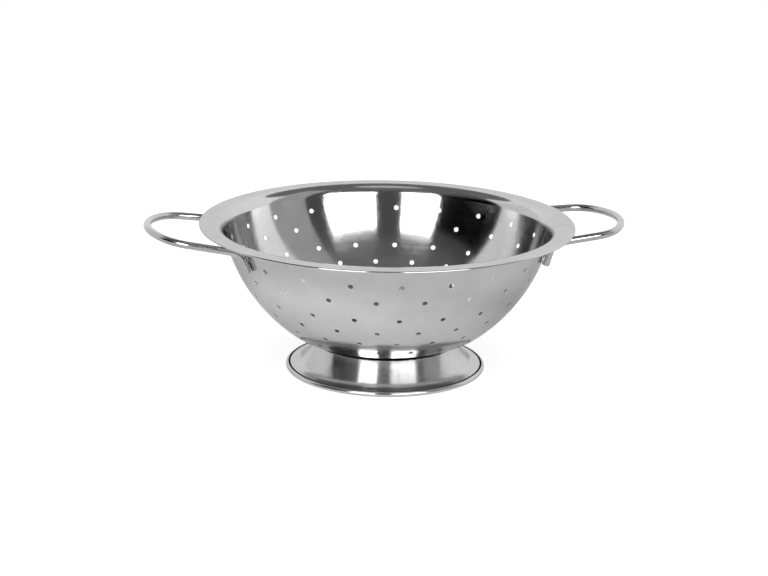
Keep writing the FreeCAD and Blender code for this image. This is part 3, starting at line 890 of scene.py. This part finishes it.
def turned_steel(name, tone, rough, lines, depth, marks, side, seams):
    """Polished sheet steel with turned rings, smudges, hairlines and painted shade in its seams."""
    material, nodes, links, inputs = new_material(name)
    rings = nodes.group(TURNED_LINES, Lines=lines)
    wear = nodes.group(HANDLING_MARKS)
    smudge = wear["Smudge"]
    scratch = wear["Scratch"]
    painted_shade = 0.0
    # Painted shade: the dark gaps at the neck and in the lip's groove are coloured near black.
    for reach, height, width in seams:
        in_shade = nodes.group(SEAM_SHADE, Reach=reach, Height=height, Width=width, Side=side)
        painted_shade = nodes.math("MAXIMUM", painted_shade, in_shade["Shade"])

    shade = nodes.math("ADD", nodes.math("MULTIPLY", rings["Mask"], RING_SHADE), smudge)
    steel = nodes.blend(shade, grey(tone), grey(SHEET_WORN * tone))
    links.new(nodes.blend(painted_shade, steel, grey(SHADE_TONE)), inputs["Base Color"])

    dull = nodes.math("ADD", nodes.math("MULTIPLY", smudge, marks),
                      nodes.math("MULTIPLY", scratch, SCRATCH_DULL))
    finest, coarsest = (share * rough for share in SHEET_GRAIN)
    grain = nodes.spread(rings["Mask"], 0.0, 1.0, finest, coarsest)
    links.new(nodes.math("ADD", nodes.math("MAXIMUM", painted_shade, dull), grain), inputs["Roughness"])

    cuts = nodes.math("MULTIPLY", scratch, SCRATCH_DEPTH)
    height = nodes.math("SUBTRACT", rings["Height"], cuts)
    links.new(nodes.bump(height, depth), inputs["Normal"])
    around = nodes.add("ShaderNodeTangent", direction_type="RADIAL", axis="Z")
    links.new(around.outputs[0], inputs["Tangent"])
    inputs["Anisotropic"].default_value = ONE_WAY_POLISH
    inputs["Anisotropic Rotation"].default_value = POLISH_TURN
    inputs["Specular Tint"].default_value = grey(EDGE_TINT)
    return material


def drawn_steel(name, tone, rough, depth):
    """Round wire with the fine lines that the drawing die leaves along it."""
    material, nodes, links, inputs = new_material(name)
    across = nodes.add("ShaderNodeAttribute", attribute_name="drawn").outputs["Vector"]
    lines = nodes.noise(across, WIRE_LINES, roughness=0.65)
    wear = nodes.group(HANDLING_MARKS)
    smudge = wear["Smudge"]
    links.new(nodes.blend(smudge, grey(tone), grey(WIRE_WORN * tone)), inputs["Base Color"])
    finest, coarsest = (share * rough for share in WIRE_GRAIN)
    grain = nodes.spread(lines, 0.3, 0.7, finest, coarsest)
    dull = nodes.math("MULTIPLY", smudge, WIRE_DULL)
    links.new(nodes.math("ADD", grain, dull), inputs["Roughness"])
    height = nodes.math("SUBTRACT", lines, wear["Scratch"])
    links.new(nodes.bump(height, depth), inputs["Normal"])
    return material


def fused_steel(name):
    """Dull weld metal, rough and tinted by heat in places."""
    material, nodes, links, inputs = new_material(name)
    place = nodes.place()
    patches = nodes.spread(nodes.noise(place, WELD_PATCHES), 0.35, 0.65)
    grain = nodes.noise(place, WELD_GRAIN, detail=4.0, roughness=0.65)
    links.new(nodes.blend(patches, WELD_TONE, WELD_TINT), inputs["Base Color"])
    links.new(nodes.spread(grain, 0.25, 0.75, *WELD_ROUGH), inputs["Roughness"])
    links.new(nodes.bump(grain, WELD_DEPTH), inputs["Normal"])
    return material


# Studio

def bare_material(name):
    """A material with no nodes in it yet, and its nodes."""
    material = bpy.data.materials.new(name)
    material.use_nodes = True
    material.node_tree.nodes.clear()
    return material, Nodes(material.node_tree)


def make_card(name, bearings, heights, distance, strength):
    """A curved card round the colander, seen only in the polished steel."""
    bm = bmesh.new()
    start, stop = (math.radians(angle) for angle in bearings)
    low, high = (math.radians(angle) for angle in heights)
    Section(bm, polar(low, distance)).arc(MIDDLE, high - low, CARD_STEPS)
    bmesh.ops.rotate(bm, cent=MIDDLE, matrix=Matrix.Rotation(start, 3, "Z"), verts=bm.verts[:])
    bmesh.ops.spin(bm, geom=bm.verts[:] + bm.edges[:], cent=MIDDLE, axis=Z_AXIS,
                   angle=stop - start,
                   steps=max(CARD_LEAST_STEPS, round((stop - start) * CARD_STEPS)))
    mesh = take_mesh(bm, name)
    mesh.shade_smooth()
    material, nodes = bare_material(name)
    light = nodes.add("ShaderNodeEmission", {"Strength": strength})
    nodes.add("ShaderNodeOutputMaterial", {"Surface": light.outputs[0]})
    mesh.materials.append(material)
    card = show(name, mesh)
    card.visible_camera = False
    card.visible_diffuse = False
    card.visible_shadow = False


def make_lamp(name, bearing, height, distance, size, radiance):
    """An oblong soft lamp that faces the colander and isn't seen in the steel."""
    light = bpy.data.lights.new(name, "AREA")
    light.shape = "RECTANGLE"
    light.size, light.size_y = size
    light.energy = radiance * math.pi * size[0] * size[1]
    lamp = show(name, light)
    place = Matrix.Rotation(math.radians(bearing), 3, "Z") @ polar(math.radians(height), distance)
    facing = place.to_track_quat("Z", "Y").to_matrix().to_4x4()
    lamp.matrix_world = Matrix.Translation(place) @ facing
    lamp.visible_glossy = False


def seen(nodes):
    """One for rays from the camera, from polish or through holes, nought for scattered light."""
    path = nodes.add("ShaderNodeLightPath").outputs
    both = nodes.math("MAXIMUM", path["Is Camera Ray"], path["Is Glossy Ray"])
    return nodes.math("MAXIMUM", both, path["Is Transmission Ray"])


def make_world():
    """A white room that lights softly."""
    world = bpy.data.worlds.new("white_room")
    bpy.context.scene.world = world
    world.use_nodes = True
    nodes = Nodes(world.node_tree)
    background = world.node_tree.nodes["Background"]
    background.inputs["Color"].default_value = grey(1.0)
    strength = nodes.spread(seen(nodes), 0.0, 1.0, to_low=ROOM_LIGHT)
    world.node_tree.links.new(strength, background.inputs["Strength"])


def make_floor():
    """A pale floor that takes the shadow near the colander and goes white farther out."""
    material, nodes = bare_material("pale_floor")
    place = nodes.place()
    far = nodes.spread(nodes.length(place), FLOOR_NEAR, FLOOR_FAR,
                       interpolation_type="SMOOTHSTEP")
    path = nodes.add("ShaderNodeLightPath").outputs
    # Painted glow: near the colander the floor shines brighter for glossy rays only, so the steel
    # reflects a painted pool of light.
    apart = nodes.add("ShaderNodeVectorMath", {0: place, 1: GLOW_MIDDLE}, operation="DISTANCE")
    painted_glow = nodes.spread(apart.outputs["Value"], GLOW_NEAR, GLOW_FAR,
                         to_low=FLOOR_PAINTED_GLOW, to_high=0.0)
    lift = nodes.math("ADD", nodes.math("MULTIPLY", path["Is Camera Ray"], FLOOR_LIFT),
                      nodes.math("MULTIPLY", path["Is Glossy Ray"], painted_glow))
    grain = nodes.spread(nodes.noise(place, FLOOR_GRAIN), 0.3, 0.7)
    tone = nodes.blend(grain, *(grey(tone) for tone in FLOOR_TONES))
    paint = nodes.add("ShaderNodeBsdfDiffuse", {"Color": tone})
    extra = nodes.add("ShaderNodeEmission", {"Strength": lift})
    near = nodes.add("ShaderNodeAddShader", {0: paint.outputs[0], 1: extra.outputs[0]})
    white = nodes.add("ShaderNodeEmission", {"Strength": 1.0})
    fade = nodes.math("MULTIPLY", far, seen(nodes))
    mixed = nodes.add("ShaderNodeMixShader",
                      {0: fade, 1: near.outputs[0], 2: white.outputs[0]})
    nodes.add("ShaderNodeOutputMaterial", {"Surface": mixed.outputs[0]})

    bm = bmesh.new()
    bmesh.ops.create_circle(bm, segments=FLOOR_SIDES, radius=FLOOR_REACH, cap_ends=True)
    mesh = take_mesh(bm, "floor")
    mesh.materials.append(material)
    floor = show("floor", mesh)


def make_camera():
    """The camera at the photograph's viewing angle."""
    camera = bpy.data.cameras.new("camera")
    camera.sensor_width = SENSOR_WIDTH_MM
    camera.lens = SENSOR_WIDTH_MM * FOCAL_PIXELS / IMAGE_WIDTH
    camera.clip_start = CLIP_START
    viewer = show("camera", camera)
    right = CAMERA_RIGHT.normalized()
    up = (CAMERA_UP - right * CAMERA_UP.dot(right)).normalized()
    viewer.matrix_world = axes_at(CAMERA_PLACE, right, up, right.cross(up))
    bpy.context.scene.camera = viewer


# The colander and its studio

TURNED_LINES = turned_lines_group()
HANDLING_MARKS = handling_marks_group()
SEAM_SHADE = seam_shade_group()

bowl_steel = turned_steel("bowl_steel", tone=0.66, rough=0.115, lines=2600.0, depth=0.00006,
                          marks=0.05, side=-1.0, seams=[NECK_SEAM])
foot_steel = turned_steel("foot_steel", tone=0.64, rough=0.19, lines=2200.0, depth=0.00004,
                          marks=0.06, side=1.0, seams=[NECK_SEAM, LIP_SEAM])
wire_steel = drawn_steel("wire_steel", tone=0.54, rough=0.15, depth=0.000002)
weld_steel = fused_steel("weld_steel")

make_bowl(bowl_steel)
make_foot(foot_steel)
for handle, turn in (("left_handle", math.pi), ("right_handle", 0.0)):
    make_handle(handle, turn, wire_steel)
    make_beads(handle, turn, weld_steel)
foot_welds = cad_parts["foot_welds"].data
foot_welds.materials.clear()
foot_welds.materials.append(weld_steel)

make_world()
make_floor()
make_camera()
for card in CARDS:
    make_card(*card)
for lamp in LAMPS:
    make_lamp(*lamp)
bpy.context.scene.view_settings.view_transform = "Standard"
